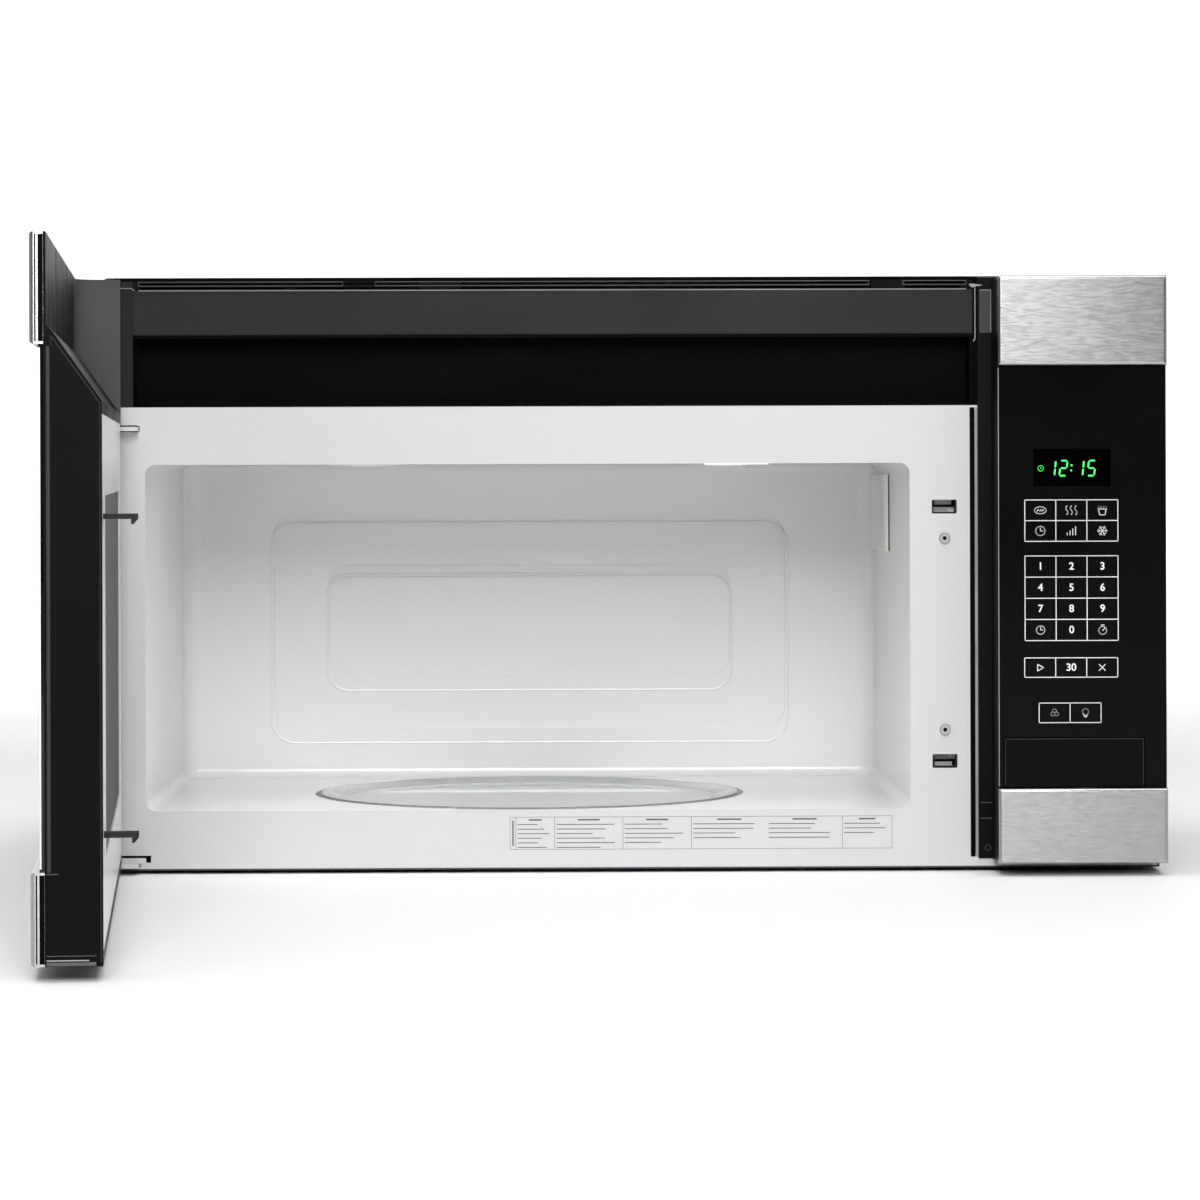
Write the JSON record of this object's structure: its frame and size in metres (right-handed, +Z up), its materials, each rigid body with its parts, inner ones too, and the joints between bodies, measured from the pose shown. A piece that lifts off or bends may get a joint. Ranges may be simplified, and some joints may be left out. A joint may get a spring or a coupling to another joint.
{
  "type": "over-the-range microwave",
  "caption": "Over-the-range microwave oven with a side-hinged steel-trimmed door, glass turntable, key panel, top vent, grease filters and cooktop lamp.",
  "frame": {"origin": "middle of the flat rear face that lies against the wall", "axes": "+X to the right seen from the front, +Y back into the wall, +Z up"},
  "size_m": [0.7873, 0.9931, 0.428],
  "materials": {
    "black_glass": "black-backed polished glass",
    "black_plastic": "fine moulded grain",
    "board_green": "solder-masked board",
    "button_black": "satin black",
    "can_aluminium": "drawn aluminium",
    "carbon": "charcoal granules in a frame",
    "case_black": "fine textured black paint",
    "core_steel": "varnished laminations",
    "display_glass": "smoked display window",
    "fan_plastic": "moulded fan",
    "filter_mesh": "expanded mesh in a rolled frame",
    "fin_aluminium": "stamped fins",
    "frame_enamel": "smooth white enamel",
    "gloss_black": "polished black",
    "guide_mica": "pressed mica board",
    "lamp_lens": "frosted lens",
    "lamp_white": "white ceramic and glass",
    "latch_plastic": "glass-filled moulding",
    "motor_steel": "zinc-coated motor can",
    "oven_enamel": "smooth light grey enamel",
    "rubber_black": "moulded rubber",
    "screw_black": "black oxide screw",
    "screw_steel": "plated screw",
    "stainless": "brushed along the width",
    "switch_red": "moulded switch case",
    "tray_glass": "clear pressed glass",
    "vent_grey": "fine moulded grain",
    "white_plastic": "smooth moulded",
    "winding_copper": "enamelled copper wire",
    "window_glass": "dark clear sheet",
    "zinc_steel": "plain zinc-coated sheet"
  },
  "bodies": {
    "case": {"outer_case": "case_black", "rear_plate": "zinc_steel", "cord_gland": "rubber_black", "base_plate": "case_black", "front_frame": "frame_enamel", "oven_cavity": "oven_enamel", "waveguide_cover": "guide_mica", "turntable_motor": "motor_steel", "hinge_lower": "zinc_steel", "hinge_upper": "zinc_steel", "vent_duct": "black_plastic", "vent_grille": "vent_grey", "charcoal_filter": "carbon", "blower_housing": "zinc_steel", "blower_motor": "motor_steel", "waveguide": "zinc_steel", "magnetron": "zinc_steel", "magnetron_core": "fin_aluminium", "transformer_core": "core_steel", "transformer_windings": "winding_copper", "capacitor": "can_aluminium", "fan_shroud": "black_plastic", "fan_motor": "motor_steel", "cavity_lamp": "lamp_white", "cooktop_lamp": "lamp_white", "panel_bezel": "black_plastic", "key_overlay": "gloss_black", "display_module": "display_glass", "control_board": "board_green", "panel_strip_upper": "stainless", "panel_strip_lower": "stainless", "latch_body": "latch_plastic", "interlock_switches": "switch_red", "frame_screws": "screw_steel", "panel_screw": "screw_black"},
    "door": {"door_body": "black_plastic", "door_glass": "black_glass", "door_strip_upper": "stainless", "door_strip_lower": "stainless", "door_frame": "frame_enamel", "window_screen": "case_black", "choke_cover": "black_plastic", "inner_window": "window_glass"},
    "key": {"door_key": "latch_plastic"},
    "turntable": {"drive_coupler": "white_plastic"},
    "tray": {"glass_tray": "tray_glass"},
    "ring": {"roller_ring": "white_plastic"},
    "wheel_1": {"roller_1": "white_plastic"},
    "wheel_2": {"roller_2": "white_plastic"},
    "wheel_3": {"roller_3": "white_plastic"},
    "blower": {"blower_wheels": "zinc_steel"},
    "fan": {"cooling_fan": "fan_plastic"},
    "filter_left": {"grease_filter_left": "filter_mesh"},
    "filter_right": {"grease_filter_right": "filter_mesh"},
    "cover": {"lamp_cover": "lamp_lens"},
    "button": {"release_button": "button_black"},
    "slider": {"release_slider": "white_plastic"}
  },
  "joints": [
    {"name": "door_hinge", "type": "hinge", "parent": "case", "child": "door", "pos_m": [-0.3725, -0.363, 0], "axis": [0, 0, -1], "range_deg": [-85.3, 6.7]},
    {"name": "key_slide", "type": "slide", "parent": "door", "child": "key", "axis": [0, 0, 1], "range_m": [-0.004, 0]},
    {"name": "button_push", "type": "slide", "parent": "case", "child": "button", "axis": [0, 1, 0], "range_m": [0, 0.0045], "stiffness_N_per_m": 300, "springref_m": -0.003},
    {"name": "slider_lift", "type": "slide", "parent": "case", "child": "slider", "axis": [0, 0, 1], "range_m": [0, 0.0045]},
    {"name": "turntable_drive", "type": "hinge", "parent": "case", "child": "turntable", "pos_m": [-0.075, -0.1845, -0.1704], "axis": [0, 0, 1], "continuous": true},
    {"name": "tray_lift", "type": "slide", "parent": "turntable", "child": "tray", "axis": [0, 0, 1], "range_m": [0, 0.12]},
    {"name": "ring_turn", "type": "hinge", "parent": "case", "child": "ring", "pos_m": [-0.075, -0.1845, -0.1704], "axis": [0, 0, 1], "continuous": true},
    {"name": "roller_spin_1", "type": "hinge", "parent": "ring", "child": "wheel_1", "pos_m": [0.0248, -0.1845, -0.1839], "axis": [1, 0, 0], "continuous": true},
    {"name": "roller_spin_2", "type": "hinge", "parent": "ring", "child": "wheel_2", "pos_m": [-0.1249, -0.09807, -0.1839], "axis": [-0.5, 0.866, 0], "continuous": true},
    {"name": "roller_spin_3", "type": "hinge", "parent": "ring", "child": "wheel_3", "pos_m": [-0.1249, -0.27093, -0.1839], "axis": [-0.5, -0.866, 0], "continuous": true},
    {"name": "blower_spin", "type": "hinge", "parent": "case", "child": "blower", "pos_m": [-0.075, -0.075, 0.14215], "axis": [1, 0, 0], "continuous": true},
    {"name": "fan_spin", "type": "hinge", "parent": "case", "child": "fan", "pos_m": [0.285, -0.05, 0.0406], "axis": [0, 1, 0], "continuous": true},
    {"name": "filter_left_slide", "type": "slide", "parent": "case", "child": "filter_left", "axis": [0, 1, 0], "range_m": [0, 0.008]},
    {"name": "filter_right_slide", "type": "slide", "parent": "case", "child": "filter_right", "axis": [0, 1, 0], "range_m": [0, 0.008]},
    {"name": "lamp_cover_hinge", "type": "hinge", "parent": "case", "child": "cover", "pos_m": [0.15, -0.2755, -0.2098], "axis": [1, 0, 0], "range_deg": [0, 90]}
  ],
  "couplings": [
    {"joint": "slider_lift", "follows": "button_push", "ratio": 1},
    {"joint": "ring_turn", "follows": "turntable_drive", "ratio": 0.5},
    {"joint": "roller_spin_1", "follows": "turntable_drive", "ratio": -8.0484},
    {"joint": "roller_spin_2", "follows": "turntable_drive", "ratio": -8.0484},
    {"joint": "roller_spin_3", "follows": "turntable_drive", "ratio": -8.0484}
  ]
}
